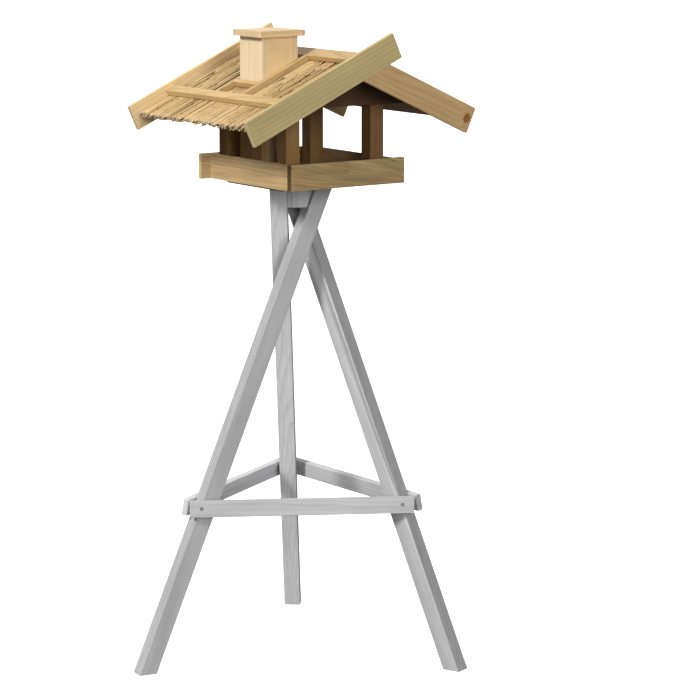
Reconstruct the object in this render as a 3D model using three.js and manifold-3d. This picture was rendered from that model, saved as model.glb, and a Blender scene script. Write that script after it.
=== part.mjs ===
// Wooden bird table: an open tray under a reed-thatched gable roof, with a seed silo whose
// top shows as a chimney, standing on a twisted tripod of square legs.
// Millimetres. +Z is up, the roof ridge runs along Y, and the ground is Z = 0.
import * as THREE from 'three';
import { mergeVertices } from 'three/addons/utils/BufferGeometryUtils.js';
import Module from 'manifold-3d';

const wasm = await Module();
wasm.setup();

// ---- driving dimensions --------------------------------------------------------------
const gap = 0.3; // left between pieces that touch
const degree = Math.PI / 180;

// stand
const standHeight = 1207; // ground to the underside of the tray's rim
const legSide = 42;
const footRadius = 448; // leg centre lines on the ground
const headDrop = 44; // standHeight down to the level where headRadius is measured
const headRadius = 54; // leg centre lines at headLevel
const headLevel = standHeight - headDrop;
const headTwist = 123.4 * degree; // how far round the head each leg goes from its own foot
const legTurn = -6.6 * degree; // of the square section about the leg's own length
const standTurn = 177.6 * degree; // direction of the first foot
const standShift = new THREE.Vector2(-8, 8); // the stand's centre line from the tray's
const braceLevel = 387; // ground to the inner lower edge of the braces
const braceHeight = 43;
const braceThickness = 16;
const braceLength = 561;
const braceInset = 173; // stand's centre line to the inner lower edge of a brace
const braceSwing = 2.8 * degree; // follows the legs' twist at brace height
const braceShift = -2; // along its own length, back towards the first of its two legs
const braceLean = 11 * degree; // inwards at the top, as the legs do
const headBlockRadius = 50;
const headBlockHeight = 52;

// tray
const trayHalfWidth = 158; // X, to the outer faces of the side boards
const trayHalfDepth = 186; // Y, to the outer faces of the gable boards
const rimHeight = 64;
const rimThickness = 12;
const rimReveal = 3; // the short end of a gable board stops this far inside the side board
const rimOverhang = 27; // its long end runs this far past the other side board
const floorThickness = 9;
const mountBoardWidth = 214;
const mountBoardDepth = 246;
const mountBoardThickness = 10;
const mountBoardShift = { x: -18, y: 24 }; // from the tray's middle

// posts and gables, heights above the underside of the rim
const postSide = 40;
const postSpacingY = 263; // centre to centre
const gablePanelThickness = 14;
const gablePanelLevel = 197;
const ridgeBeamWidth = 18;
const ridgeBeamHeight = 40;

// roof: depths are measured square to the slope, down from the line of the barges' top edges
const apexLevel = 340; // where the two lines of top edges cross
const pitch = 24.5 * degree;
const bargeRun = 376; // apex line to the foot of a barge, along the slope
const bargeHorn = 96; // how far the left barges run on past the apex
const bargeWidth = 66.5;
const bargeThickness = 12;
const roofHalfLength = 271.5; // Y, to the outer faces of the barges
const battenDepth = 11;
const battenThickness = 14;
const battenWidth = 28;
const trimBattenWidth = 14; // the narrow ones round the chimney
const thatchThickness = 12;
const thatchRun = 360;
const deckThickness = 6;
const deckRun = 340;
const eaveBattenRun = 236; // apex line to the upper edge of an eave batten

// silo
const siloWidth = 107; // X
const siloDepth = 98; // Y
const siloBoard = 13;
const siloTopLevel = 365.5;
const siloMiddle = 4; // Y, from the tray's centre
const feedSlot = 20;
const siloClearance = 1;
const lidThickness = 15;
const lidOverhang = 14;
const lidCorner = 4;
const lidPlugThickness = 12;
const lidPlugClearance = 1.5;

// fasteners: a head that tapers to the shank, sunk below the face
const fastenerSides = 16;
const holeClearance = 0.15;
const braceScrew = { headRadius: 5, headDepth: 4, radius: 2.5, length: 32, sink: 1 };
const braceScrewInset = 29.5; // from the end of a brace
const mountScrew = { headRadius: 5, headDepth: 4, radius: 2.5, length: 60, sink: 0.5 };
const mountScrewRadius = 34;
const rimNail = { headRadius: 2.2, headDepth: 1.2, radius: 1.2, length: 38, sink: 0.3 };
const rimNailDrop = 7; // from the top edge of the rim
const dowelRadius = 5;
const dowelLength = 30;

// ---- finishes ------------------------------------------------------------------------
const finish = (color, roughness, metalness = 0) => ({ color, roughness, metalness });
const barePine = finish('#d9b98a', 0.75);
const treatedPine = finish('#a99c6c', 0.8);
const trayPine = finish('#a5845a', 0.8);
const reed = finish('#cfae78', 0.9);
const plywood = finish('#9a7a52', 0.85);
const greyWood = finish('#d4d4d2', 0.8);
const zincSteel = finish('#77777a', 0.45, 1);

// ---- helpers -------------------------------------------------------------------------
const model = new THREE.Group();
const stand = new THREE.Group();
const feeder = new THREE.Group();
const leftSlope = new THREE.Group();
const rightSlope = new THREE.Group();
model.add(stand, feeder);
feeder.add(leftSlope, rightSlope);
stand.position.set(standShift.x, standShift.y, 0);
feeder.position.z = standHeight;
// on a slope, local X runs up to the apex and local Z is square to the slope, outwards
leftSlope.position.z = apexLevel;
leftSlope.rotation.set(0, -pitch, 0);
rightSlope.position.z = apexLevel;
rightSlope.rotation.set(0, -pitch, Math.PI, 'ZYX');

function addMesh(parent, name, geometry, surface) {
  const mesh = new THREE.Mesh(geometry, new THREE.MeshStandardMaterial(surface));
  mesh.name = name;
  parent.add(mesh);
  return mesh;
}

function toManifold(geometry) {
  const bare = new THREE.BufferGeometry();
  bare.setAttribute('position', geometry.getAttribute('position'));
  if (geometry.index) bare.setIndex(geometry.index);
  const welded = mergeVertices(bare, 1e-5);
  return new wasm.Manifold(new wasm.Mesh({
    numProp: 3,
    vertProperties: new Float32Array(welded.getAttribute('position').array),
    triVerts: new Uint32Array(welded.index.array),
  }));
}

function fromManifold(solid) {
  const mesh = solid.getMesh();
  const geometry = new THREE.BufferGeometry();
  geometry.setAttribute('position', new THREE.BufferAttribute(new Float32Array(mesh.vertProperties), 3));
  geometry.setIndex(new THREE.BufferAttribute(new Uint32Array(mesh.triVerts), 1));
  return geometry;
}

// Takes a tool's shape out of a piece, both where they stand in the model.
function subtract(piece, tool) {
  piece.updateWorldMatrix(true, false);
  tool.updateWorldMatrix(true, false);
  const toPiece = piece.matrixWorld.clone().invert().multiply(tool.matrixWorld);
  const cutter = tool.geometry.clone().applyMatrix4(toPiece);
  piece.geometry = fromManifold(toManifold(piece.geometry).subtract(toManifold(cutter)));
}

// A box between two corners.
function board(parent, name, low, high, surface) {
  const size = high.map((value, i) => value - low[i]);
  const mesh = addMesh(parent, name, new THREE.BoxGeometry(...size), surface);
  mesh.position.set(...high.map((value, i) => (value + low[i]) / 2));
  return mesh;
}

// An outline in the XZ plane, as [x, z] points, run along Y from y0 to y1.
function plank(parent, name, outline, y0, y1, surface) {
  const shape = new THREE.Shape(outline.map(([x, z]) => new THREE.Vector2(x, z)));
  const geometry = new THREE.ExtrudeGeometry(shape, { depth: y1 - y0, bevelEnabled: false });
  geometry.rotateX(Math.PI / 2).translate(0, y1, 0);
  return addMesh(parent, name, geometry, surface);
}

// Where a layer at this depth meets the upright plane through the ridge, along the slope.
const ridgeRun = (depth) => -(gap / 2 + depth * Math.sin(pitch)) / Math.cos(pitch);

// Height above the rim's underside of the point x across and this deep in the roof.
const roofLevel = (x, depth) => apexLevel - depth / Math.cos(pitch) - Math.abs(x) * Math.tan(pitch);

// A fastener's outline turned about its length: the head's face at 0, the tip along -Z.
function fastenerGeometry(type, clearance = 0, mouth = 0) {
  const head = type.headRadius + clearance;
  const shank = type.radius + clearance;
  const profile = [
    [0, -type.length - clearance],
    [shank, -type.length - clearance],
    [shank, -type.headDepth],
    [head, -type.headDepth / 4],
    [head, mouth],
    [0, mouth],
  ];
  const points = profile.map(([r, z]) => new THREE.Vector2(r, z));
  return new THREE.LatheGeometry(points, fastenerSides).rotateX(Math.PI / 2);
}

// Puts a fastener with its head sunk under a face and drills the pieces it goes through.
function fasten(parent, name, type, point, outward, pieces, surface = zincSteel) {
  const screw = addMesh(parent, name, fastenerGeometry(type), surface);
  screw.quaternion.setFromUnitVectors(new THREE.Vector3(0, 0, 1), outward);
  screw.position.copy(point).addScaledVector(outward, -type.sink);
  const hole = new THREE.Mesh(fastenerGeometry(type, holeClearance, type.sink + 1));
  hole.position.copy(screw.position);
  hole.quaternion.copy(screw.quaternion);
  parent.add(hole);
  for (const piece of pieces) subtract(piece, hole);
  parent.remove(hole);
  return screw;
}

// ---- stand ---------------------------------------------------------------------------
const standTop = standHeight - mountBoardThickness - gap;
const thirds = [0, 1, 2].map((k) => standTurn + (k * 2 * Math.PI) / 3);

// One leg, its foot in the +X direction: a square bar cut level at both ends.
function legGeometry(side, low, high) {
  const foot = new THREE.Vector3(footRadius, 0, 0);
  const head = new THREE.Vector3(headRadius * Math.cos(headTwist), headRadius * Math.sin(headTwist), headLevel);
  const along = head.clone().sub(foot).normalize();
  const out = new THREE.Vector3(1, 0, 0).projectOnPlane(along).normalize().applyAxisAngle(along, legTurn);
  const across = along.clone().cross(out);
  const corners = [[1, 1], [-1, 1], [-1, -1], [1, -1]];
  const positions = [];
  for (const level of [low, high]) {
    for (const [i, j] of corners) {
      const edge = foot.clone().addScaledVector(out, (i * side) / 2).addScaledVector(across, (j * side) / 2);
      const corner = edge.addScaledVector(along, (level - edge.z) / along.z);
      positions.push(...corner.toArray());
    }
  }
  const geometry = new THREE.BufferGeometry();
  geometry.setAttribute('position', new THREE.Float32BufferAttribute(positions, 3));
  const sides = [0, 1, 2, 3].flatMap((k) => {
    const next = (k + 1) % 4;
    return [k, next, next + 4, k, next + 4, k + 4];
  });
  geometry.setIndex([0, 2, 1, 0, 3, 2, 4, 5, 6, 4, 6, 7, ...sides]);
  return geometry;
}

function buildLegs() {
  return ['leg_left', 'leg_right', 'leg_rear'].map((name, k) => {
    const leg = addMesh(stand, name, legGeometry(legSide, 0, standTop), greyWood);
    leg.rotation.z = thirds[k];
    return leg;
  });
}

// Three level boards on the outside of the legs, leaning with them and let a little into their corners.
function buildBraces(legs) {
  const names = ['brace_front', 'brace_right', 'brace_left'];
  const screwReach = braceLength / 2 - braceScrewInset;
  names.forEach((name, k) => {
    const turn = thirds[k] + Math.PI / 3 + braceSwing;
    const frame = new THREE.Group();
    frame.rotation.set(0, -braceLean, turn, 'ZYX');
    frame.position.set(braceInset * Math.cos(turn), braceInset * Math.sin(turn), braceLevel);
    stand.add(frame);
    const low = [0, braceShift - braceLength / 2, 0];
    const high = [braceThickness, braceShift + braceLength / 2, braceHeight];
    const seatLow = low.map((value) => value - gap);
    const seatHigh = high.map((value) => value + gap);
    const seat = board(frame, 'seat', seatLow, seatHigh, greyWood);
    const neighbours = [legs[k], legs[(k + 1) % 3]];
    for (const leg of neighbours) subtract(leg, seat);
    frame.remove(seat);
    const brace = board(frame, name, low, high, greyWood);
    [-1, 1].forEach((side, i) => {
      const point = new THREE.Vector3(braceThickness, braceShift + side * screwReach, braceHeight / 2);
      const label = `${name.replace('brace', 'brace_screw')}_${i + 1}`;
      fasten(frame, label, braceScrew, point, new THREE.Vector3(1, 0, 0), [brace, neighbours[i]]);
    });
  });
}

// The core between the leg heads: a round block, notched where the legs pass it.
function buildHead(legs) {
  const geometry = new THREE.CylinderGeometry(headBlockRadius, headBlockRadius, headBlockHeight, 24);
  const block = addMesh(stand, 'head_block', geometry.rotateX(Math.PI / 2), greyWood);
  block.position.z = standTop - headBlockHeight / 2;
  legs.forEach((leg, k) => {
    const notch = addMesh(stand, 'notch', legGeometry(legSide + 2 * gap, 0, standTop + 10), greyWood);
    notch.rotation.z = thirds[k];
    subtract(block, notch);
    stand.remove(notch);
  });
  legs.forEach((leg, k) => buildDowel(block, leg, k));
  return block;
}

// A glued peg from the core into each leg.
function buildDowel(block, leg, k) {
  const level = standTop - headBlockHeight / 2;
  const share = level / headLevel;
  const foot = new THREE.Vector2(footRadius, 0);
  const head = new THREE.Vector2(headRadius * Math.cos(headTwist), headRadius * Math.sin(headTwist));
  const centre = foot.lerp(head, share).rotateAround(new THREE.Vector2(), thirds[k]);
  const outward = new THREE.Vector3(centre.x, centre.y, 0).normalize();
  const up = new THREE.Vector3(0, 1, 0);
  const place = (mesh) => {
    mesh.quaternion.setFromUnitVectors(up, outward);
    mesh.position.copy(outward).multiplyScalar(centre.length() - legSide / 2).setZ(level);
  };
  const peg = new THREE.CylinderGeometry(dowelRadius, dowelRadius, dowelLength, fastenerSides);
  place(addMesh(stand, `head_dowel_${k + 1}`, peg, barePine));
  const boreRadius = dowelRadius + holeClearance;
  const bore = new THREE.CylinderGeometry(boreRadius, boreRadius, dowelLength + 2 * gap, fastenerSides);
  const tool = addMesh(stand, 'bore', bore, barePine);
  place(tool);
  subtract(block, tool);
  subtract(leg, tool);
  stand.remove(tool);
}

// ---- tray ----------------------------------------------------------------------------
const innerX = trayHalfWidth - rimThickness;
const innerY = trayHalfDepth - rimThickness;

function buildTray(headBlock) {
  const floor = board(feeder, 'tray_floor', [-innerX + gap, -innerY + gap, 0],
    [innerX - gap, innerY - gap, floorThickness], plywood);
  const mountLow = [mountBoardShift.x - mountBoardWidth / 2, mountBoardShift.y - mountBoardDepth / 2];
  const mountHigh = [mountBoardShift.x + mountBoardWidth / 2, mountBoardShift.y + mountBoardDepth / 2];
  const mount = board(feeder, 'mount_board', [...mountLow, -mountBoardThickness], [...mountHigh, -gap], trayPine);
  const sides = [-1, 1].map((side) => {
    const x = [side * innerX, side * trayHalfWidth].sort((a, b) => a - b);
    const name = side < 0 ? 'rim_side_left' : 'rim_side_right';
    return board(feeder, name, [x[0], -innerY + gap, 0], [x[1], innerY - gap, rimHeight], trayPine);
  });
  // each gable board is short at one end and runs on at the other, turned about between the two
  ['near', 'far'].forEach((label, i) => {
    const turn = i === 0 ? 1 : -1;
    const x = [-turn * (trayHalfWidth - rimReveal), turn * (trayHalfWidth + rimOverhang)].sort((a, b) => a - b);
    const y = [-turn * trayHalfDepth, -turn * innerY].sort((a, b) => a - b);
    const gable = board(feeder, `rim_gable_${label}`, [x[0], y[0], 0], [x[1], y[1], rimHeight], trayPine);
    const outward = new THREE.Vector3(0, -turn, 0);
    ['left', 'right'].forEach((end, j) => {
      const nailX = (j === 0 ? -1 : 1) * (trayHalfWidth - rimThickness / 2);
      const point = new THREE.Vector3(nailX, -turn * trayHalfDepth, rimHeight - rimNailDrop);
      fasten(feeder, `rim_nail_${label}_${end}`, rimNail, point, outward, [gable, sides[j]]);
    });
  });
  // three screws hold the tray down on the stand's head, through the lobes between the legs
  thirds.forEach((turn, k) => {
    const angle = turn + headTwist + Math.PI / 3;
    const point = new THREE.Vector3(
      standShift.x + mountScrewRadius * Math.cos(angle),
      standShift.y + mountScrewRadius * Math.sin(angle),
      floorThickness,
    );
    const up = new THREE.Vector3(0, 0, 1);
    fasten(feeder, `mount_screw_${k + 1}`, mountScrew, point, up, [floor, mount, headBlock]);
  });
}

// ---- posts and gables ----------------------------------------------------------------
const deckUnderside = battenDepth + battenThickness + thatchThickness + deckThickness + 3 * gap;

// The posts stand in the tray's corners, and their heads are cut to the roof's slope.
function buildPosts() {
  const outer = innerX - gap;
  const inner = outer - postSide;
  for (const [yName, ySide] of [['near', -1], ['far', 1]]) {
    const middle = (ySide * postSpacingY) / 2;
    for (const [xName, xSide] of [['left', -1], ['right', 1]]) {
      const outline = [
        [xSide * inner, floorThickness + gap],
        [xSide * outer, floorThickness + gap],
        [xSide * outer, roofLevel(outer, deckUnderside)],
        [xSide * inner, roofLevel(inner, deckUnderside)],
      ];
      plank(feeder, `post_${yName}_${xName}`, outline, middle - postSide / 2, middle + postSide / 2, trayPine);
    }
  }
}

// A triangular panel closes each gable above the posts, and a beam joins the two under the ridge.
function buildGables() {
  const inside = postSpacingY / 2 + postSide / 2 + gap;
  const reach = (roofLevel(0, deckUnderside) - gablePanelLevel) / Math.tan(pitch);
  const outline = [[-reach, gablePanelLevel], [reach, gablePanelLevel], [0, roofLevel(0, deckUnderside)]];
  plank(feeder, 'gable_panel_near', outline, -inside - gablePanelThickness, -inside, trayPine);
  plank(feeder, 'gable_panel_far', outline, inside, inside + gablePanelThickness, trayPine);
  const beamTop = roofLevel(ridgeBeamWidth / 2, deckUnderside);
  board(feeder, 'ridge_beam', [-ridgeBeamWidth / 2, -inside + gap, beamTop - ridgeBeamHeight],
    [ridgeBeamWidth / 2, inside - gap, beamTop], trayPine);
}

// ---- roof ----------------------------------------------------------------------------
const bargeInner = roofHalfLength - bargeThickness;
const deckHalf = bargeInner - gap;
const thatchDepth = battenDepth + battenThickness + gap;
const deckDepth = thatchDepth + thatchThickness + gap;
const siloOuterX = innerX - gap;
const siloInnerX = siloOuterX - siloWidth;

// One layer of the roof, from its eave up to the upright plane through the ridge.
function layer(slope, name, run, depth, thickness, surface) {
  const outline = [
    [-run, -depth],
    [-run, -depth - thickness],
    [ridgeRun(depth + thickness), -depth - thickness],
    [ridgeRun(depth), -depth],
  ];
  return plank(slope, name, outline, -deckHalf, deckHalf, surface);
}

function buildCovering() {
  const holed = [];
  for (const [side, slope] of [['left', leftSlope], ['right', rightSlope]]) {
    const deck = layer(slope, `deck_${side}`, deckRun, deckDepth, deckThickness, plywood);
    const thatch = layer(slope, `thatch_${side}`, thatchRun, thatchDepth, thatchThickness, reed);
    if (side === 'left') holed.push(deck, thatch);
  }
  const half = siloDepth / 2 + siloClearance;
  const shaft = board(feeder, 'shaft', [-siloOuterX - siloClearance, siloMiddle - half, 0],
    [-siloInnerX + siloClearance, siloMiddle + half, siloTopLevel], barePine);
  for (const piece of holed) subtract(piece, shaft);
  feeder.remove(shaft);
}

// The left barge runs on past the apex, and the right one butts up under its lower edge.
function buildBarges() {
  const meeting = (depth) => -(bargeWidth + gap - depth * Math.cos(2 * pitch)) / Math.sin(2 * pitch);
  const leftOutline = [[-bargeRun, -bargeWidth], [bargeHorn, -bargeWidth], [bargeHorn, 0], [-bargeRun, 0]];
  const rightOutline = [
    [-bargeRun, -bargeWidth],
    [meeting(bargeWidth), -bargeWidth],
    [meeting(0), 0],
    [-bargeRun, 0],
  ];
  // the right slope's own Y runs the other way
  plank(leftSlope, 'barge_near_left', leftOutline, -roofHalfLength, -bargeInner, treatedPine);
  plank(leftSlope, 'barge_far_left', leftOutline, bargeInner, roofHalfLength, treatedPine);
  plank(rightSlope, 'barge_near_right', rightOutline, bargeInner, roofHalfLength, treatedPine);
  plank(rightSlope, 'barge_far_right', rightOutline, -roofHalfLength, -bargeInner, treatedPine);
}

// The battens hold the reed down: along the ridge and the eaves, and round the chimney.
function buildBattens() {
  const top = -battenDepth;
  const bottom = top - battenThickness;
  const ridgeFoot = ridgeRun(battenDepth) - battenWidth + 5;
  const ridgeHead = ridgeRun(battenDepth) + battenThickness;
  const eaveHead = -eaveBattenRun;
  const eaveFoot = eaveHead - battenWidth;
  const batten = (slope, name, low, high) => board(slope, name, [...low, bottom], [...high, top], barePine);
  // the left ridge batten covers the edge of the right one
  batten(leftSlope, 'ridge_batten_left', [ridgeFoot, -deckHalf], [ridgeHead, deckHalf]);
  const covered = -bottom + gap;
  const meeting = (depth) => (depth * Math.cos(2 * pitch) - covered) / Math.sin(2 * pitch);
  const rightOutline = [
    [ridgeFoot, bottom],
    [meeting(-bottom), bottom],
    [meeting(-top), top],
    [ridgeFoot, top],
  ];
  plank(rightSlope, 'ridge_batten_right', rightOutline, -deckHalf, deckHalf, barePine);
  batten(leftSlope, 'eave_batten_left', [eaveFoot, -deckHalf], [eaveHead, deckHalf]);
  batten(rightSlope, 'eave_batten_right', [eaveFoot, -deckHalf], [eaveHead, deckHalf]);
  const near = siloMiddle - siloDepth / 2 - siloClearance;
  const far = siloMiddle + siloDepth / 2 + siloClearance;
  const runHead = ridgeFoot - gap;
  const runFoot = eaveHead + gap;
  batten(leftSlope, 'chimney_batten_near', [runFoot, near - trimBattenWidth], [runHead, near]);
  batten(leftSlope, 'chimney_batten_far', [runFoot, far], [runHead, far + trimBattenWidth]);
  // the cross batten's upper edge meets the chimney at the batten's foot
  const crossHead = (-siloOuterX - siloClearance + bottom * Math.sin(pitch)) / Math.cos(pitch);
  batten(leftSlope, 'chimney_batten_cross', [crossHead - trimBattenWidth, near + gap], [crossHead, far - gap]);
}

// ---- silo ----------------------------------------------------------------------------
function buildSilo() {
  const near = siloMiddle - siloDepth / 2;
  const far = siloMiddle + siloDepth / 2;
  const foot = floorThickness + gap;
  const slotTop = foot + feedSlot;
  const x = [-siloOuterX, -siloOuterX + siloBoard, -siloInnerX - siloBoard, -siloInnerX];
  const between = [x[1] + gap, x[2] - gap];
  const upright = (name, x0, x1, y0, y1, bottom) =>
    board(feeder, name, [x0, y0, bottom], [x1, y1, siloTopLevel], barePine);
  upright('silo_board_left', x[0], x[1], near, far, foot);
  upright('silo_board_right', x[2], x[3], near, far, slotTop);
  upright('silo_board_near', between[0], between[1], near, near + siloBoard, slotTop);
  upright('silo_board_far', between[0], between[1], far - siloBoard, far, slotTop);
  buildLid((x[0] + x[3]) / 2);
}

// The lid lifts off to fill the silo; a plug under it drops into the shaft.
function buildLid(middle) {
  const halfX = siloWidth / 2 + lidOverhang;
  const halfY = siloDepth / 2 + lidOverhang;
  const outline = new THREE.Shape();
  outline.moveTo(-halfX + lidCorner, -halfY);
  outline.lineTo(halfX - lidCorner, -halfY);
  outline.absarc(halfX - lidCorner, -halfY + lidCorner, lidCorner, -Math.PI / 2, 0);
  outline.absarc(halfX - lidCorner, halfY - lidCorner, lidCorner, 0, Math.PI / 2);
  outline.absarc(-halfX + lidCorner, halfY - lidCorner, lidCorner, Math.PI / 2, Math.PI);
  outline.absarc(-halfX + lidCorner, -halfY + lidCorner, lidCorner, Math.PI, 1.5 * Math.PI);
  const geometry = new THREE.ExtrudeGeometry(outline, { depth: lidThickness, bevelEnabled: false, curveSegments: 5 });
  const plate = addMesh(feeder, 'lid_plate', mergeVertices(geometry), barePine);
  plate.position.set(middle, siloMiddle, siloTopLevel + gap);
  const plugX = siloWidth / 2 - siloBoard - lidPlugClearance;
  const plugY = siloDepth / 2 - siloBoard - lidPlugClearance;
  board(feeder, 'lid_plug', [middle - plugX, siloMiddle - plugY, siloTopLevel - lidPlugThickness],
    [middle + plugX, siloMiddle + plugY, siloTopLevel], barePine);
}

// ---- assembly ------------------------------------------------------------------------
const legs = buildLegs();
buildBraces(legs);
const headBlock = buildHead(legs);
buildTray(headBlock);
buildPosts();
buildGables();
buildCovering();
buildBarges();
buildBattens();
buildSilo();

// the origin is the middle of the whole object's footprint, on the ground
model.updateMatrixWorld(true);
const bounds = new THREE.Box3().setFromObject(model, true);
const middle = bounds.getCenter(new THREE.Vector3());
model.position.set(-middle.x, -middle.y, -bounds.min.z);

export default model;
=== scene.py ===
# A garden bird table: a reed-thatched feeder house with a seed silo, on a twisted tripod.
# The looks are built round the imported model: every board is given its arrises and its own
# grain, the thatch is laid stem by stem, and the screws and nails get real heads.
import math
import random

import bmesh
import bpy
from mathutils import Matrix, Vector


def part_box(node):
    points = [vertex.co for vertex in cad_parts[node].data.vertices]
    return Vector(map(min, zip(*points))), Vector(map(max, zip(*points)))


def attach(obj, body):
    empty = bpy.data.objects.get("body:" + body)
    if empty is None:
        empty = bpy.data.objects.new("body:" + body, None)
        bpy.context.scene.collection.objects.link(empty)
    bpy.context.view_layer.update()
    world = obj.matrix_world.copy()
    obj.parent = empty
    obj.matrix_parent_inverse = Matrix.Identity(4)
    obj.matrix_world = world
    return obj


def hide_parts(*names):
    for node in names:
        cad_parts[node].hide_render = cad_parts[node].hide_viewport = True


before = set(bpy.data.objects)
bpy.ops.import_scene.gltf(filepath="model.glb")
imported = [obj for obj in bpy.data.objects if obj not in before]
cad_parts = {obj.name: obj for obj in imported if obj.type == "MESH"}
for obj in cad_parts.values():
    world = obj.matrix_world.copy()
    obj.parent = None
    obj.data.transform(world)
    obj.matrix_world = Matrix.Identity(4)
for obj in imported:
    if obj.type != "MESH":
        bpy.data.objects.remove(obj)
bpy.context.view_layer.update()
MM = 0.001
chance = random.Random(11)

# ---- camera --------------------------------------------------------------------------
# A long lens from a little above the roof, looking across the near gable and the silo's slope.
# It stands some 7 m off, so the verticals stay close to parallel.
LOOK_DOWN = 0.170  # radians below level
LOOK_RIGHT = 0.613  # radians round from +Y towards +X
camera_data = bpy.data.cameras.new("camera")
camera_data.lens = 152.07
camera_data.sensor_width = 36
camera_data.clip_end = 200
camera = bpy.data.objects.new("camera", camera_data)
camera.location = (-4.0526, -6.0650, 2.0401)
camera.rotation_euler = (math.pi / 2 - LOOK_DOWN, 0, -LOOK_RIGHT)
bpy.context.scene.collection.objects.link(camera)
bpy.context.scene.camera = camera
bpy.context.scene.view_settings.view_transform = "Standard"

# ---- studio --------------------------------------------------------------------------
# A pale sweep of painted board. A broad soft light comes in low from the silo's side, a weaker
# one from the camera's side opens up the near gable, and a third keeps the back readable.


def linear(colour):
    """An sRGB hex colour as linear RGBA."""
    channels = [int(colour[i:i + 2], 16) / 255 for i in (1, 3, 5)]
    return [*(c / 12.92 if c <= 0.04045 else ((c + 0.055) / 1.055) ** 2.4 for c in channels), 1.0]


def add(tree, kind, inputs=None, stops=None, **settings):
    """A shader node with its settings, its input values or links, and a ramp's stops."""
    node = tree.nodes.new("ShaderNode" + kind)
    for name, value in settings.items():
        setattr(node, name, value)
    for name, value in (inputs or {}).items():
        if isinstance(value, bpy.types.NodeSocket):
            tree.links.new(value, node.inputs[name])
        else:
            node.inputs[name].default_value = value
    for i, (place, colour) in enumerate(stops or []):
        element = node.color_ramp.elements[i] if i < 2 else node.color_ramp.elements.new(place)
        element.position = place
        element.color = linear(colour)
    return node


def painted_board():
    """Matt studio paint in faint clouds 1.7 m wide: white to look at, mid grey in the light it returns."""
    material = bpy.data.materials.new("matt_studio_paint")
    material.use_nodes = True
    tree = material.node_tree
    place = add(tree, "TexCoord").outputs["Object"]
    cloud = add(tree, "TexNoise", {"Vector": place, "Scale": 0.6, "Detail": 2.0}).outputs["Fac"]
    tone = add(tree, "ValToRGB", {"Fac": cloud}, stops=[(0.3, "#F1F1F0"), (0.7, "#F5F5F4")])
    seen = add(tree, "LightPath").outputs["Is Camera Ray"]
    paint = add(tree, "Mix", {0: seen, 6: linear("#6A6A68"), 7: tone.outputs["Color"]}, data_type="RGBA")
    shader = tree.nodes["Principled BSDF"]
    tree.links.new(paint.outputs[2], shader.inputs["Base Color"])
    tree.links.new(seen, shader.inputs["Emission Strength"])
    shader.inputs["Roughness"].default_value = 0.95
    shader.inputs["Specular IOR Level"].default_value = 0.1
    shader.inputs["Emission Color"].default_value = linear("#D4D4D4")
    return material


def studio_floor():
    """A flat sheet, wide enough to run past the horizon of every view."""
    half_width = 60
    bm = bmesh.new()
    bmesh.ops.create_grid(bm, x_segments=4, y_segments=4, size=half_width)
    mesh = bpy.data.meshes.new("floor")
    bm.to_mesh(mesh)
    bm.free()
    floor = bpy.data.objects.new("floor", mesh)
    mesh.materials.append(painted_board())
    bpy.context.scene.collection.objects.link(floor)


def sun(name, azimuth, elevation, strength, spread, colour):
    """A soft sun from a compass direction: azimuth 0 comes from -Y and 90 from +X, in degrees."""
    data = bpy.data.lights.new(name, "SUN")
    data.energy = strength
    data.angle = math.radians(spread)
    data.color = linear(colour)[:3]
    light = bpy.data.objects.new(name, data)
    turn = math.radians(azimuth)
    rise = math.radians(elevation)
    toward = Vector((math.sin(turn) * math.cos(rise), -math.cos(turn) * math.cos(rise), math.sin(rise)))
    light.rotation_euler = toward.to_track_quat("Z", "Y").to_euler()
    bpy.context.scene.collection.objects.link(light)


studio_floor()
sun("key_light", -84, 36.5, 3.35, 15, "#FFFDFA")
sun("fill_light", -15, 14, 1.75, 30, "#FFFFFF")
sun("back_light", 150, 32, 1.3, 40, "#F8FAFF")
world = bpy.data.worlds.new("studio")
world.use_nodes = True
background = world.node_tree.nodes["Background"]
background.inputs["Color"].default_value = linear("#FFFFFF")
background.inputs["Strength"].default_value = 0.22
bpy.context.scene.world = world

# ---- stand ---------------------------------------------------------------------------
# A tripod of three planed square legs that lean across one another, with three level boards
# screwed to their outsides. Softwood under a thin pale grey limewash that lets the grain show.


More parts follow.
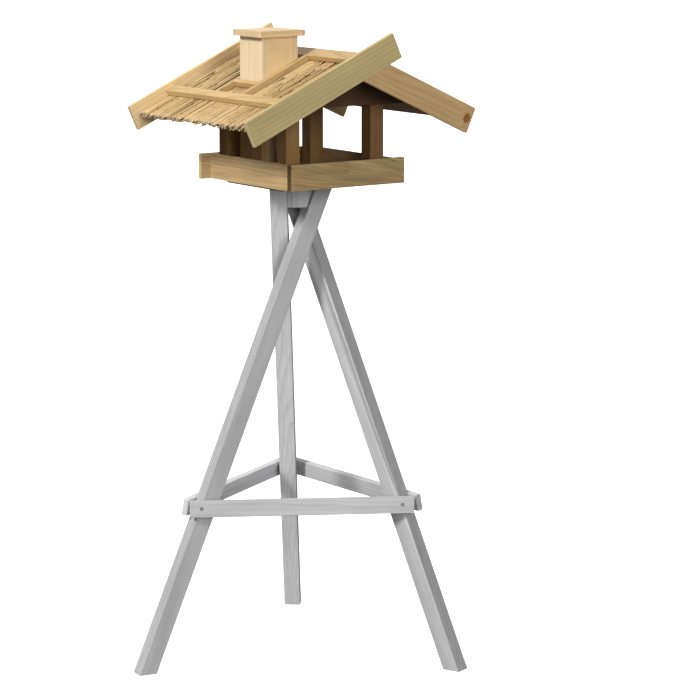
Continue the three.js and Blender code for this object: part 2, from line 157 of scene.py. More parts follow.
def softwood(name, tones, late_tone, end_tone, knot_tone, ring_gap, ring_show, streak_show, wear):
    """Planed softwood that follows the boards' own grain attributes.

    tones are the colours of two kinds of board, and a board's tint runs between them. ring_gap is
    a year's growth in mm, and the last three say how much the rings, fibres and arrises show.
    """
    material = bpy.data.materials.new(name)
    material.use_nodes = True
    tree = material.node_tree
    shader = tree.nodes["Principled BSDF"]
    grain = add(tree, "Attribute", attribute_name="grain").outputs["Vector"]
    knot = add(tree, "Attribute", attribute_name="knot").outputs["Vector"]
    end = add(tree, "Attribute", attribute_name="end").outputs["Fac"]
    arris = add(tree, "Attribute", attribute_name="arris").outputs["Fac"]
    tint = add(tree, "Attribute", attribute_name="tint").outputs["Fac"]
    painted_light = add(tree, "Attribute", attribute_name="painted_light").outputs["Fac"]

    # the trunk's slow wander: up to 7 mm sideways over 250 mm or so of length
    wander_at = add(tree, "VectorMath", {0: grain, 1: (4.0, 16.0, 16.0)}, operation="MULTIPLY")
    wander = add(tree, "TexNoise", {"Vector": wander_at.outputs[0], "Scale": 1.0, "Detail": 2.0})
    sway = add(tree, "VectorMath", {0: wander.outputs["Color"], 1: (0.5, 0.5, 0.5)}, operation="SUBTRACT")
    bent = add(tree, "VectorMath", {0: sway.outputs[0], 1: (0.0, 0.014, 0.014), 2: grain},
               operation="MULTIPLY_ADD")
    across = add(tree, "VectorMath", {0: bent.outputs[0], 1: (0.0, 1.0, 1.0)}, operation="MULTIPLY")
    radius = add(tree, "VectorMath", {0: across.outputs[0]}, operation="LENGTH").outputs["Value"]

    # the rings swell round a knot
    ragged = add(tree, "TexNoise", {"Vector": knot, "Scale": 1.6, "Detail": 2.0}).outputs["Fac"]
    knot_far = add(tree, "VectorMath", {0: knot}, operation="LENGTH").outputs["Value"]
    knot_edge = add(tree, "Math", {0: ragged, 1: 0.5, 2: knot_far}, operation="MULTIPLY_ADD").outputs[0]
    swell = add(tree, "MapRange", {"Value": knot_far, "From Min": 3.2, "From Max": 0.6, "To Max": 0.012},
                interpolation_type="SMOOTHSTEP").outputs["Result"]
    reach = add(tree, "Math", {0: radius, 1: swell}, operation="ADD").outputs[0]
    count = add(tree, "Math", {0: reach, 1: ring_gap * MM}, operation="DIVIDE").outputs[0]
    phase = add(tree, "Math", {0: count}, operation="FRACT").outputs[0]
    # pale early wood that darkens slowly to a narrow late band, then starts again
    ring = add(tree, "ValToRGB", {"Fac": phase},
               stops=[(0.0, "#000000"), (1.0, "#202020"), (0.45, "#0A0A0A"), (0.8, "#D0D0D0"),
                      (0.93, "#FFFFFF")])
    ring_weight = add(tree, "Math", {0: ring.outputs["Color"], 1: ring_show}, operation="MULTIPLY").outputs[0]

    # fibres: streaks some 4 mm wide and 300 long with finer ones on them, and clouds 40 mm wide
    streak_at = add(tree, "VectorMath", {0: grain, 1: (3.5, 280.0, 280.0)}, operation="MULTIPLY")
    streak = add(tree, "TexNoise", {"Vector": streak_at.outputs[0], "Scale": 1.0, "Detail": 5.0,
                                    "Roughness": 0.7}).outputs["Fac"]
    cloud_at = add(tree, "VectorMath", {0: grain, 1: (5.0, 28.0, 28.0)}, operation="MULTIPLY")
    cloud = add(tree, "TexNoise", {"Vector": cloud_at.outputs[0], "Scale": 1.0, "Detail": 2.0}).outputs["Fac"]

    early = add(tree, "Mix", {0: tint, 6: linear(tones[0]), 7: linear(tones[1])}, data_type="RGBA").outputs[2]
    ringed = add(tree, "Mix", {0: ring_weight, 6: early, 7: linear(late_tone)}, data_type="RGBA",
                 blend_type="MULTIPLY").outputs[2]
    bright = 1.0 + streak_show * 0.4
    shade = add(tree, "MapRange", {"Value": streak, "From Min": 0.3, "From Max": 0.7,
                                   "To Min": 1.0 - streak_show, "To Max": bright}).outputs["Result"]
    patch = add(tree, "MapRange", {"Value": cloud, "From Min": 0.3, "From Max": 0.7,
                                   "To Min": 1.0 - streak_show * 0.5, "To Max": bright}).outputs["Result"]
    worn = add(tree, "Math", {0: arris, 1: wear, 2: 1.0}, operation="MULTIPLY_ADD").outputs[0]
    fibre = add(tree, "Math", {0: shade, 1: patch}, operation="MULTIPLY").outputs[0]
    # painted light and shade: each board is made brighter or darker by its own factor
    board = add(tree, "Math", {0: fibre, 1: painted_light}, operation="MULTIPLY").outputs[0]
    light = add(tree, "Math", {0: board, 1: worn}, operation="MULTIPLY").outputs[0]
    streaked = add(tree, "VectorMath", {0: ringed, "Scale": light}, operation="SCALE").outputs[0]

    # sawn ends take the finish in their own way, and only the streaks carry on across them
    sawn = add(tree, "VectorMath", {0: linear(end_tone)[:3], "Scale": light}, operation="SCALE").outputs[0]
    ended = add(tree, "Mix", {0: end, 6: streaked, 7: sawn}, data_type="RGBA").outputs[2]

    # a knot: its own tight rings, a dark bark line round it, and a stain that fades into the board
    knot_span = add(tree, "Math", {0: knot_edge, 1: 0.4}, operation="MULTIPLY").outputs[0]
    knot_stain = add(tree, "ValToRGB", {"Fac": knot_span},
                     stops=[(0.0, knot_tone), (1.0, "#FFFFFF"), (0.12, "#E8CBA4"), (0.22, knot_tone),
                            (0.3, "#E0BC92"), (0.42, knot_tone), (0.5, "#D8B48A"), (0.66, "#FFFFFF")])
    knotted = add(tree, "Mix", {0: 1.0, 6: ended, 7: knot_stain.outputs["Color"]}, data_type="RGBA",
                  blend_type="MULTIPLY").outputs[2]
    tree.links.new(knotted, shader.inputs["Base Color"])
    rough = add(tree, "MapRange", {"Value": streak, "To Min": 0.62, "To Max": 0.82}).outputs["Result"]
    tree.links.new(rough, shader.inputs["Roughness"])
    shader.inputs["Specular IOR Level"].default_value = 0.3

    height = add(tree, "Math", {0: ring_weight, 1: -0.5, 2: streak}, operation="MULTIPLY_ADD").outputs[0]
    bump = add(tree, "Bump", {"Height": height, "Strength": 0.5, "Distance": 0.25 * MM})
    tree.links.new(bump.outputs["Normal"], shader.inputs["Normal"])
    return material


def bare_copy(node):
    """A copy of a node's own shape, welded and cleared of the edges inside its flat faces."""
    bm = bmesh.new()
    bm.from_mesh(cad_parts[node].data)
    bmesh.ops.remove_doubles(bm, verts=bm.verts, dist=0.005 * MM)
    bmesh.ops.dissolve_limit(bm, angle_limit=math.radians(0.5), verts=bm.verts, edges=bm.edges)
    return bm


def add_piece(name, bm, materials, nodes, body="table"):
    """Turns a bmesh into a piece that rides on a body and stands for the given nodes."""
    mesh = bpy.data.meshes.new(name)
    bm.normal_update()
    bm.to_mesh(mesh)
    bm.free()
    for spare in ("custom_normal", "sharp_edge"):
        if spare in mesh.attributes:
            mesh.attributes.remove(mesh.attributes[spare])
    for material in materials:
        mesh.materials.append(material)
    piece = bpy.data.objects.new(name, mesh)
    bpy.context.scene.collection.objects.link(piece)
    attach(piece, body)
    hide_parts(*nodes)
    return piece


NO_KNOT = (9, 9, 9)  # a place nine knot radii away from any knot


def timber(node, material, arris=1.0, steps=2, shortest=4.0, tint=0.0, painted_light=1.0, knot=None,
           pith=None, sawn=1.0, below=None, body="table"):
    """A board with its arrises taken off and its grain run along its longest edge.

    arris is the width taken off, in steps, along each edge longer than shortest, in mm.
    tint runs it between its wood's two tones, painted_light scales its brightness as painted light
    or shade, and sawn is how much its ends differ from its sides.
    knot is its middle and size, (along, across, radius) in mm from the board's middle.
    pith is where the trunk's centre lies from the board's middle, (across, below) in mm.
    below is a point, a direction and the finish of what lies behind that plane.
    """
    bm = bare_copy(node)
    grain = bm.verts.layers.float_vector.new("grain")
    knots = bm.verts.layers.float_vector.new("knot")
    tints = bm.verts.layers.float.new("tint")
    painted_light_layer = bm.verts.layers.float.new("painted_light")
    ends = bm.faces.layers.float.new("end")
    worn = bm.faces.layers.float.new("arris")
    longest = max(bm.edges, key=lambda edge: edge.calc_length())
    along = (longest.verts[1].co - longest.verts[0].co).normalized()
    if along[max(range(3), key=lambda i: abs(along[i]))] < 0:
        along = -along
    sides = [face for face in bm.faces if abs(face.normal.dot(along)) < 0.1]
    flat = max(sides, key=lambda face: face.calc_area())
    out = flat.normal.copy()
    across = out.cross(along)
    axes = (along, across, out)
    spans = [[axis.dot(vert.co) for vert in bm.verts] for axis in axes]
    middle = [(min(span) + max(span)) / 2 for span in spans]
    width = max(spans[1]) - min(spans[1])

    sharp = [edge for edge in bm.edges if len(edge.link_faces) == 2
             and edge.calc_face_angle() > math.radians(20) and edge.calc_length() > shortest * MM]
    rounded = bmesh.ops.bevel(bm, geom=sharp, offset=arris * MM, offset_type="OFFSET", segments=steps,
                              profile=0.5, affect="EDGES", clamp_overlap=True, material=-1)["faces"]
    # where in its trunk the board was sawn, how far it leans from the trunk's line, and its own shade
    if pith is None:
        pith = (chance.uniform(-0.7, 0.7) * width / MM, chance.uniform(18, 70))
    start = chance.uniform(0, 40)
    lean = (chance.uniform(-0.02, 0.02), chance.uniform(-0.05, 0.05))
    spread = chance.uniform(-0.12, 0.12)
    for vert in bm.verts:
        x, y, z = (axis.dot(vert.co) - centre for axis, centre in zip(axes, middle))
        vert[grain] = (x + start, y - pith[0] * MM + x * lean[0], z + pith[1] * MM + x * lean[1])
        vert[knots] = NO_KNOT
        if knot:
            # a knot is a fifth shorter along the board than across it, and three times as deep
            size = knot[2] * MM
            vert[knots] = ((x - knot[0] * MM) / (size * 0.8), (y - knot[1] * MM) / size, z / (size * 3))
        vert[tints] = tint + spread
        vert[painted_light_layer] = painted_light
    for face in bm.faces:
        face[ends] = sawn if abs(face.normal.dot(along)) > 0.6 else 0.0
    for face in rounded:
        face[worn] = 1.0
    materials = [material]
    if below:
        point, direction, lower = below
        whole = bm.verts[:] + bm.edges[:] + bm.faces[:]
        bmesh.ops.bisect_plane(bm, geom=whole, plane_co=point, plane_no=direction)
        for face in bm.faces:
            if (face.calc_center_median() - point).dot(direction) < 0:
                face.material_index = 1
        materials.append(lower)
    return add_piece(node + "_timber", bm, materials, [node], body)


# limewash fills the grain and leaves its rings only just darker than the rest
limewash = softwood("limewashed_softwood", ("#B5B5B7", "#ADADAF"), "#C8C8C8", "#A6A6A7", "#9A9A9A",
                    ring_gap=5.0, ring_show=0.36, streak_show=0.15, wear=0.08)
# each leg, brace and the head block gets its own brightness factor: painted light and shade
for name, painted_light in (("left", 0.92), ("right", 0.9), ("rear", 1.32)):
    timber("leg_" + name, limewash, arris=2.0, shortest=45, painted_light=painted_light)
for name, painted_light in (("front", 0.9), ("right", 1.15), ("left", 1.4)):
    timber("brace_" + name, limewash, arris=1.5, shortest=12, painted_light=painted_light)
timber("head_block", limewash, arris=1.0, shortest=40, painted_light=1.2)

# ---- pegs, screws and nails ----------------------------------------------------------
# Zinc-plated screws with a countersunk cross-recess head hold the braces and the tray, fine
# pins hold the rim, and turned beech pegs lock the legs into the head.


def plated_steel():
    """Zinc plate gone dull: a grey metal with blotches 1.5 mm wide, shinier where they are dark."""
    material = bpy.data.materials.new("dull_zinc_plate")
    material.use_nodes = True
    tree = material.node_tree
    shader = tree.nodes["Principled BSDF"]
    place = add(tree, "TexCoord").outputs["Object"]
    bloom = add(tree, "TexNoise", {"Vector": place, "Scale": 700.0, "Detail": 3.0}).outputs["Fac"]
    tone = add(tree, "ValToRGB", {"Fac": bloom}, stops=[(0.35, "#56575A"), (0.7, "#85868A")])
    tree.links.new(tone.outputs["Color"], shader.inputs["Base Color"])
    rough = add(tree, "MapRange", {"Value": bloom, "To Min": 0.38, "To Max": 0.62}).outputs["Result"]
    tree.links.new(rough, shader.inputs["Roughness"])
    shader.inputs["Metallic"].default_value = 1.0
    return material


def turned_beech():
    """Turned beech: plain pinkish wood with dark flecks 2.5 mm wide."""
    material = bpy.data.materials.new("turned_beech")
    material.use_nodes = True
    tree = material.node_tree
    shader = tree.nodes["Principled BSDF"]
    place = add(tree, "TexCoord").outputs["Object"]
    fleck = add(tree, "TexNoise", {"Vector": place, "Scale": 420.0, "Detail": 2.0}).outputs["Fac"]
    tone = add(tree, "ValToRGB", {"Fac": fleck}, stops=[(0.35, "#B08458"), (0.6, "#D6B286")])
    tree.links.new(tone.outputs["Color"], shader.inputs["Base Color"])
    shader.inputs["Roughness"].default_value = 0.7
    return material


def fastener(node, outward, material, recess):
    """A headed fastener on its node's own axis; recess cuts a cross in the head."""
    points = [vert.co.copy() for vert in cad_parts[node].data.vertices]
    top = max(outward.dot(point) for point in points)
    face = [point for point in points if top - outward.dot(point) < 0.02 * MM]
    middle = sum(face, Vector()) / len(face)
    head = max((point - middle).length for point in face)
    length = top - min(outward.dot(point) for point in points)
    shank = head * 0.5
    bm = bmesh.new()
    bmesh.ops.create_circle(bm, cap_ends=True, segments=24, radius=head)
    cap = next(iter(bm.faces))
    # the radius and depth of each step: the head's rim, its cone, the shank and the point
    steps = ((head, 0.25 * head), (shank, 0.8 * head), (shank, length - 0.6 * head), (0.15 * shank, length))
    ring = list(bm.edges)
    for radius, depth in steps:
        grown = bmesh.ops.extrude_edge_only(bm, edges=ring)["geom"]
        ring = [item for item in grown if isinstance(item, bmesh.types.BMEdge)]
        for vert in {vert for edge in ring for vert in edge.verts}:
            flat = vert.co.xy.normalized() * radius
            vert.co = (flat.x, flat.y, -depth)
    bmesh.ops.holes_fill(bm, edges=ring, sides=0)
    bmesh.ops.inset_region(bm, faces=[cap], thickness=head * 0.16)
    if recess:
        bmesh.ops.inset_region(bm, faces=[cap], thickness=head * 0.1)
        for vert in cap.verts:
            turn = math.atan2(vert.co.y, vert.co.x)
            arm = abs(math.cos(2 * turn)) > 0.8
            vert.co.xy = vert.co.xy.normalized() * head * (0.62 if arm else 0.24)
        pit = bmesh.ops.extrude_face_region(bm, geom=[cap])["geom"]
        bottom = [item for item in pit if isinstance(item, bmesh.types.BMVert)]
        bmesh.ops.scale(bm, vec=(0.7, 0.7, 1), verts=bottom)
        bmesh.ops.translate(bm, vec=(0, 0, -head * 0.4), verts=bottom)
        bmesh.ops.delete(bm, geom=[cap], context="FACES_ONLY")
    bmesh.ops.recalc_face_normals(bm, faces=bm.faces)
    turn = outward.to_track_quat("Z", "Y").to_matrix().to_4x4()
    spin = Matrix.Rotation(chance.uniform(0, math.pi / 2), 4, "Z")
    bmesh.ops.transform(bm, matrix=Matrix.Translation(middle) @ turn @ spin, verts=bm.verts)
    add_piece(node + "_head", bm, [material], [node])


zinc = plated_steel()
level = Vector((1, 1, 0))
for name in ("front", "right", "left"):
    # the brace's wide face that looks away from the stand's middle
    brace = bare_copy("brace_" + name)
    faces = sorted(brace.faces, key=lambda face: face.calc_area())[-2:]
    outer = max(faces, key=lambda face: face.normal.dot(face.calc_center_median() * level))
    outward = outer.normal.copy()
    brace.free()
    for i in (1, 2):
        fastener(f"brace_screw_{name}_{i}", outward, zinc, recess=True)
for i in (1, 2, 3):
    fastener(f"mount_screw_{i}", Vector((0, 0, 1)), zinc, recess=True)
for gable, outward in (("near", Vector((0, -1, 0))), ("far", Vector((0, 1, 0)))):
    for end in ("left", "right"):
        fastener(f"rim_nail_{gable}_{end}", outward, zinc, recess=False)
beech = turned_beech()
for i in (1, 2, 3):
    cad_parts[f"head_dowel_{i}"].data.materials.clear()
    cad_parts[f"head_dowel_{i}"].data.materials.append(beech)

# ---- tray ----------------------------------------------------------------------------
# Four planed pine rim boards round a plywood floor, on a board that is screwed down to the
# stand's head. The two gable boards are nailed across the ends of the side boards.

# oil turns the boards honey brown, brings out their fibres and soaks deep into the sawn ends
oiled_pine = softwood("oiled_pine", ("#C2A679", "#AC9264"), "#B89468", "#5B4727", "#7A5536",
                      ring_gap=6.0, ring_show=0.28, streak_show=0.36, wear=0.18)
# rotary-cut veneer: wide soft rings with little contrast
thin_ply = softwood("softwood_plywood", ("#8F6F4A", "#7D5E3C"), "#C8A77C", "#6A5034", "#7A5536",
                    ring_gap=9.0, ring_show=0.4, streak_show=0.14, wear=0.05)
# the mount board is darkened as painted shade and the far gable board brightened as painted light
timber("mount_board", oiled_pine, arris=1.0, shortest=8, tint=1.0, painted_light=0.6)
timber("tray_floor", thin_ply, arris=0.5, shortest=8)
timber("rim_side_left", oiled_pine, arris=1.2, shortest=8, tint=0.0)
timber("rim_side_right", oiled_pine, arris=1.2, shortest=8, tint=0.3)
timber("rim_gable_near", oiled_pine, arris=1.2, shortest=8, tint=0.9, pith=(14, 60))
timber("rim_gable_far", oiled_pine, arris=1.2, shortest=8, tint=0.1, painted_light=1.15, sawn=0.0)

# ---- posts and gables ----------------------------------------------------------------
# Square posts stand in the tray's corners and carry a closed triangular panel at each gable,
# with a beam between the panels under the ridge.

# a brown stain that hides most of the wood's own contrast
stained_pine = softwood("stained_pine", ("#8E6D3E", "#775831"), "#B08A5C", "#5E4A2C", "#5E4026",
                        ring_gap=6.0, ring_show=0.3, streak_show=0.22, wear=0.12)
for gable, side, tint in (("near", "left", 0.0), ("near", "right", 0.8),
                          ("far", "left", 0.4), ("far", "right", 0.5)):
    timber(f"post_{gable}_{side}", stained_pine, arris=1.5, tint=tint)
# the posts' stain darkened to nearly chocolate as painted shade for the parts deep under the roof,
# with the rings just showing
shade_darkened_pine = softwood("stained_pine_darkened_as_shade", ("#523A24", "#46301D"), "#B08A5C", "#3A2818", "#5E4026",
                     ring_gap=6.0, ring_show=0.3, streak_show=0.2, wear=0.10)
for gable in ("near", "far"):
    timber(f"gable_panel_{gable}", shade_darkened_pine, arris=0.8, tint=0.6)
timber("ridge_beam", shade_darkened_pine, arris=1.0, tint=0.6)

# ---- roof boards and reed ------------------------------------------------------------
# A thin plywood deck on each slope carries two courses of dry reed, laid stem by stem from the
# eave up. The stems are hollow, jointed every 160 mm, and trimmed by hand at the eave.
for side in ("left", "right"):
    timber(f"deck_{side}", thin_ply, arris=0.5, tint=1.2, shortest=8)


JOINT_GAP = 160 * MM


def dry_reed():
    """Straw-coloured reed: each stem its own tone, dark at the joints, pale where cut, and painted dark
    as shade inside its hollow end and low on its round.

    The stem attribute is a place along it, how high on its own round it lies, and its tone.
    """
    material = bpy.data.materials.new("dry_reed")
    material.use_nodes = True
    tree = material.node_tree
    shader = tree.nodes["Principled BSDF"]
    stem = add(tree, "Attribute", attribute_name="stem").outputs["Vector"]
    cut = add(tree, "Attribute", attribute_name="cut").outputs["Fac"]
    parts = add(tree, "SeparateXYZ", {"Vector": stem})
    tone = add(tree, "ValToRGB", {"Fac": parts.outputs["Z"]},
               stops=[(0.0, "#5E4424"), (1.0, "#DCC596"), (0.22, "#9A7A4C"), (0.5, "#BF9F6C"),
                      (0.8, "#CFB080")])
    # weather marks some 70 mm long, different on every stem
    streak_at = add(tree, "VectorMath", {0: stem, 1: (14.0, 1.0, 31.0)}, operation="MULTIPLY")
    streak = add(tree, "TexNoise", {"Vector": streak_at.outputs[0], "Scale": 1.0,
                                    "Detail": 3.0}).outputs["Fac"]
    shade = add(tree, "MapRange", {"Value": streak, "From Min": 0.3, "From Max": 0.7, "To Min": 0.72,
                                   "To Max": 1.12}).outputs["Result"]
    # painted shade: each stem is darker low on its round, in the creases between stems
    crease_shade = add(tree, "MapRange", {"Value": parts.outputs["Y"], "From Min": -0.6, "From Max": 1.6,
                                    "To Min": 0.3, "To Max": 1.0}).outputs["Result"]
    # joints: a dark line every 160 mm that fades into the stem above it
    joint = add(tree, "Math", {0: parts.outputs["X"], 1: JOINT_GAP}, operation="DIVIDE").outputs[0]
    along = add(tree, "Math", {0: joint}, operation="FRACT").outputs[0]
    band = add(tree, "ValToRGB", {"Fac": along},
               stops=[(0.0, "#8E6E4A"), (1.0, "#FFFFFF"), (0.012, "#A88660"), (0.022, "#FFFFFF")])
    creased = add(tree, "Math", {0: shade, 1: crease_shade}, operation="MULTIPLY").outputs[0]
    streaked = add(tree, "VectorMath", {0: tone.outputs["Color"], "Scale": creased},
                   operation="SCALE").outputs[0]
    jointed = add(tree, "Mix", {0: 1.0, 6: streaked, 7: band.outputs["Color"]}, data_type="RGBA",
                  blend_type="MULTIPLY").outputs[2]
    # the inside of the hollow end is painted dark as shade, and the knife's faces pale
    ends = add(tree, "ValToRGB", {"Fac": cut},
               stops=[(0.0, "#5A3E20"), (1.0, "#D9C396"), (0.5, "#5A3E20")])
    is_end = add(tree, "Math", {0: cut, 1: 0.25}, operation="GREATER_THAN").outputs[0]
    colour = add(tree, "Mix", {0: is_end, 6: jointed, 7: ends.outputs["Color"]}, data_type="RGBA").outputs[2]
    tree.links.new(colour, shader.inputs["Base Color"])
    rough = add(tree, "MapRange", {"Value": streak, "To Min": 0.42, "To Max": 0.7}).outputs["Result"]
    tree.links.new(rough, shader.inputs["Roughness"])
    bump = add(tree, "Bump", {"Height": streak, "Strength": 0.4, "Distance": 0.2 * MM})
    tree.links.new(bump.outputs["Normal"], shader.inputs["Normal"])
    return material


def stem_shape():
    """One stem along X from 0 to 1 with a radius of 1: seven sides, a hollow at the eave end.

    Its cut attribute is 1 on the faces left by the knife and 0.5 inside the hollow.
    """
    bm = bmesh.new()
    hollow = bm.faces.layers.float.new("cut")
    bmesh.ops.create_circle(bm, cap_ends=True, segments=7, radius=1.0)
    bmesh.ops.rotate(bm, matrix=Matrix.Rotation(-math.pi / 2, 3, "Y"), verts=bm.verts)
    mouth = next(iter(bm.faces))
    ring = list(bm.edges)
    # rings along it, close enough for a bow
    for place in (0.17, 0.38, 0.6, 0.81, 1.0):
        grown = bmesh.ops.extrude_edge_only(bm, edges=ring)["geom"]
        ring = [item for item in grown if isinstance(item, bmesh.types.BMEdge)]
        for vert in {vert for edge in ring for vert in edge.verts}:
            vert.co.x = place
    bmesh.ops.holes_fill(bm, edges=ring, sides=0)
    lip = bmesh.ops.inset_region(bm, faces=[mouth], thickness=0.5)["faces"]
    sunk = bmesh.ops.extrude_face_region(bm, geom=[mouth])["geom"]
    bmesh.ops.delete(bm, geom=[mouth], context="FACES_ONLY")
    floor = [item for item in sunk if isinstance(item, bmesh.types.BMFace)]
    for vert in {vert for face in floor for vert in face.verts}:
        vert.co.x = -1.0
    bmesh.ops.recalc_face_normals(bm, faces=bm.faces)
    for face in bm.faces:
        face[hollow] = 0.0
        if face in lip or (abs(face.normal.x) > 0.9 and face not in floor):
            face[hollow] = 1.0
        elif any(vert.co.x < -0.5 for vert in face.verts):
            face[hollow] = 0.5
        face.smooth = face[hollow] == 0.0
    mesh = bpy.data.meshes.new("stem")
    bm.to_mesh(mesh)
    bm.free()
    return mesh


stem_mesh = stem_shape()
HOLLOW = 5 * MM  # how deep the eave end of a stem is open


def lay_stem(bm, low, high, radius, tone, centre, axes):
    """Adds one stem from low to high along the slope.

    centre is its place along the ridge and out of the slope, and axes are those three directions.
    """
    slope, ridge, out = axes
    first = len(bm.verts)
    bm.from_mesh(stem_mesh)
    bm.verts.ensure_lookup_table()
    layer = bm.verts.layers.float_vector["stem"]
    bow = chance.uniform(-1.6, 1.6) * MM
    lift = chance.uniform(-0.35, 0.35) * MM
    drift = chance.uniform(-0.012, 0.012) * (high - low)
    start = chance.uniform(0, 9)
    taper = chance.uniform(0.86, 1.0)
    for vert in bm.verts[first:]:
        share = max(vert.co.x, 0.0)
        run = low + (high - low) * share
        inside = HOLLOW if vert.co.x < 0 else 0.0
        size = radius * (1 - share + taper * share)
        side = math.sin(share * math.pi * 1.5) * bow + drift * share
        y = vert.co.y * size + side + centre[0]
        z = vert.co.z * size + centre[1] + math.sin(share * math.pi) * lift
        vert[layer] = (run + inside + start, vert.co.z * 3, tone)
        vert.co = slope * (run + inside) + ridge * y + out * z


COURSE_DROP = 5.6 * MM  # how far the lower course lies under the upper one
SHORTEST_STEM = 30 * MM
DARK_STEMS = 0.07  # the share that has gone nearly black
LOST_STEMS = 0.07  # the share that has fallen out


def thatch(side, material):
    """Both courses of reed on one slope, cut round the silo on the slope that it comes through."""
    bm = bare_copy("thatch_" + side)
    top = max((face for face in bm.faces if face.normal.z > 0.5), key=lambda face: face.calc_area())
    out = top.normal.copy()
    ridge = Vector((0, 1, 0))
    slope = ridge.cross(out)
    if slope.z < 0:
        slope = -slope
    runs = [slope.dot(vert.co) for vert in bm.verts]
    eave, head = min(runs), max(runs)
    surface = out.dot(top.verts[0].co)
    low_box, high_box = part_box("thatch_" + side)
    bm.free()

    silo_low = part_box("silo_board_left")[0]
    silo_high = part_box("silo_board_right")[1]
    clear = 1.5 * MM  # between the reed and the silo
    edge = 2.5 * MM  # from the thatch's edge to the middle of its outermost stem
    head -= 4 * MM  # the stems stop short of the ridge

    def run_at(x):
        """Where the upright plane at x meets the thatch's surface, along the slope."""
        height = (surface - out.x * x) / out.z
        return slope.x * x + slope.z * height

    reeds = bmesh.new()
    reeds.verts.layers.float_vector.new("stem")
    reeds.faces.layers.float.new("cut")
    axes = (slope, ridge, out)
    for course in ("under", "over"):
        y = low_box.y + edge
        while y < high_box.y - edge:
            radius = chance.uniform(1.8, 2.8) * MM
            # the under course is painted much darker, as shade from the course over it, except beside the
            # silo
            tone = min(1.0, max(0.0, chance.gauss(0.56 if course == "over" else 0.15, 0.2)))
            if course == "over" and chance.random() < DARK_STEMS:
                tone = 0.05
            depth = surface - radius - 0.4 * MM - (0 if course == "over" else COURSE_DROP)
            spans = [(eave + chance.uniform(-5, 7) * MM, head)]
            by_silo = side == "left" and silo_low.y - clear - radius < y < silo_high.y + clear + radius
            if by_silo:
                below_silo = run_at(silo_low.x - clear) - 1 * MM
                above_silo = run_at(silo_high.x + clear)
                spans = [(spans[0][0], below_silo), (above_silo, head)]
                tone = max(tone, 0.55)
            for low, high in spans:
                # away from the silo, a lane of the upper course is a few short stems laid end to end
                while high - low > SHORTEST_STEM:
                    broken = course == "over" and not by_silo
                    reach = min(high, low + chance.uniform(70, 330) * MM) if broken else high
                    shift = chance.uniform(-0.7, 0.7) * MM if broken else 0
                    shade = tone + chance.uniform(-0.15, 0.15) if broken else tone
                    if not broken or chance.random() > LOST_STEMS:
                        shade = min(1.0, max(0.0, shade))
                        lay_stem(reeds, low, reach, radius, shade, (y + shift, depth), axes)
                    low = reach + chance.uniform(-5, 9) * MM
            # the upper course lies close, with a few wider cracks
            if course == "under":
                gap = chance.uniform(0, 1.2)
            else:
                gap = chance.choice((0, 0, 0, 0.5, 1.2, 1.9))
            y += radius * 2 + gap * MM
    add_piece(f"reed_{side}", reeds, [material], ["thatch_" + side])


reed = dry_reed()
thatch("left", reed)
thatch("right", reed)
bpy.data.meshes.remove(stem_mesh)

# ---- barge boards --------------------------------------------------------------------
# A planed board closes each end of a slope. The left ones run on past the ridge and the right
# ones butt up under them.

# pressure-treated pine with wide soft rings; its darker, greener tone paints shade on the near left
# board and its paler tone paints light on the far left board
treated_pine = softwood("pressure_treated_pine", ("#BDAB79", "#ECCF9F"), "#C8B08A", "#C4B084", "#6E4A2C",
                        ring_gap=9.0, ring_show=0.3, streak_show=0.13, wear=0.06)
# the same boards faded to tan by the sun
tan_pine = softwood("aged_treated_pine", ("#BE9F70", "#B89869"), "#B99468", "#B49A70", "#A8743F",
                    ring_gap=9.0, ring_show=0.3, streak_show=0.16, wear=0.16)
timber("barge_near_left", treated_pine, arris=1.2, steps=3, tint=0.0, pith=(-60, 30))
timber("barge_far_left", treated_pine, arris=1.2, steps=3, tint=0.9, pith=(-40, 40))
timber("barge_near_right", tan_pine, arris=1.2, steps=3, knot=(157, 0, 11), pith=(50, 60))
timber("barge_far_right", tan_pine, arris=1.2, steps=3)

# ---- battens -------------------------------------------------------------------------
# Planed strips nailed down over the reed: a pair that meet along the ridge, one along each
# eave, and three narrow ones that frame the silo.

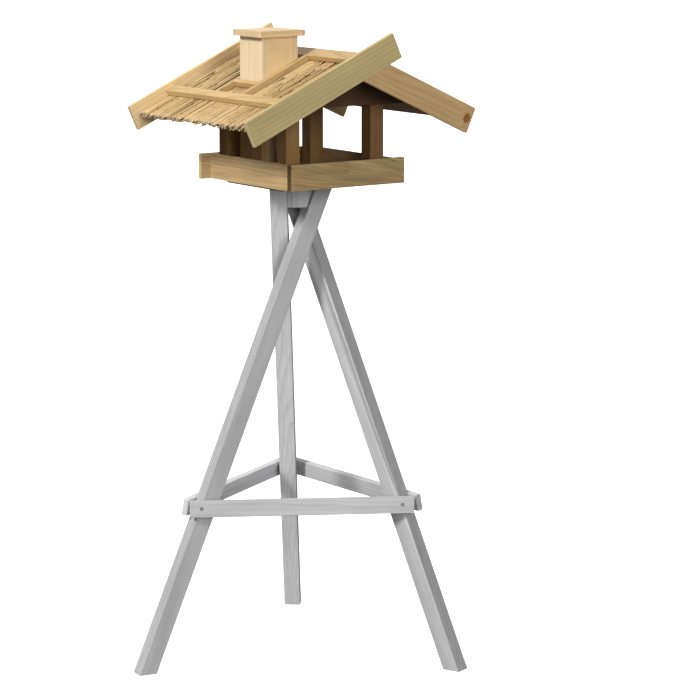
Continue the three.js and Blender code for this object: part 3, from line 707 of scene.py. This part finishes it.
# plain planed pine, yellowed by a season outdoors
batten_pine = softwood("planed_batten_pine", ("#C9AB78", "#BFA06F"), "#C8A070", "#C8AE80", "#A8683C",
                       ring_gap=6.0, ring_show=0.35, streak_show=0.12, wear=0.14)
# the last number darkens most battens a little, as painted shade
for name, tint, painted_light in (("ridge_batten_left", 0.9, 0.95), ("ridge_batten_right", 0.8, 0.9),
                        ("eave_batten_left", 0.0, 1.0), ("eave_batten_right", 0.6, 0.95),
                        ("chimney_batten_near", 0.5, 0.92), ("chimney_batten_far", 0.6, 0.9),
                        ("chimney_batten_cross", 0.4, 0.95)):
    timber(name, batten_pine, arris=1.2, steps=3, tint=tint, painted_light=painted_light)

# ---- silo ----------------------------------------------------------------------------
# Four upright pine boards make the seed shaft, whose top stands out of the roof as a chimney.
# They are bare above the reed; below it the left board takes the posts' stain and the rest the
# tray's oil, darker finishes that also paint in the deep shade under the roof.

# fresh planed pine: creamy, close-ringed and smooth
bare_pine = softwood("bare_planed_pine", ("#DDCBAA", "#E5C899"), "#D8B888", "#D6BC96", "#A8683C",
                     ring_gap=6.0, ring_show=0.25, streak_show=0.09, wear=0.06)
# the bare wood starts at a plane that lies hidden inside the reed
roof_slope = max(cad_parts["thatch_left"].data.polygons, key=lambda face: face.area).normal.copy()
if roof_slope.z < 0:
    roof_slope.negate()
roof_point = Vector(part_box("thatch_left")[0])
for name, tint, pith, lower in (("left", 0.0, (4, 26), stained_pine), ("right", 0.4, None, oiled_pine),
                                ("near", 1.0, (60, 20), oiled_pine), ("far", 0.6, None, oiled_pine)):
    timber("silo_board_" + name, bare_pine, arris=0.8, tint=tint, pith=pith,
           below=(roof_point, roof_slope, lower))

# ---- lid -----------------------------------------------------------------------------
# A loose pine cap with well-rounded edges, sawn from one board, and a plug glued under it that
# drops into the shaft and keeps the cap in place.
# the plate is darkened a little, as painted shade
timber("lid_plate", bare_pine, arris=4.5, steps=5, tint=0.9, painted_light=0.92, shortest=3,
       knot=(62, 58, 4.5), body="lid")
timber("lid_plug", bare_pine, arris=1.0, tint=0.5, body="lid")
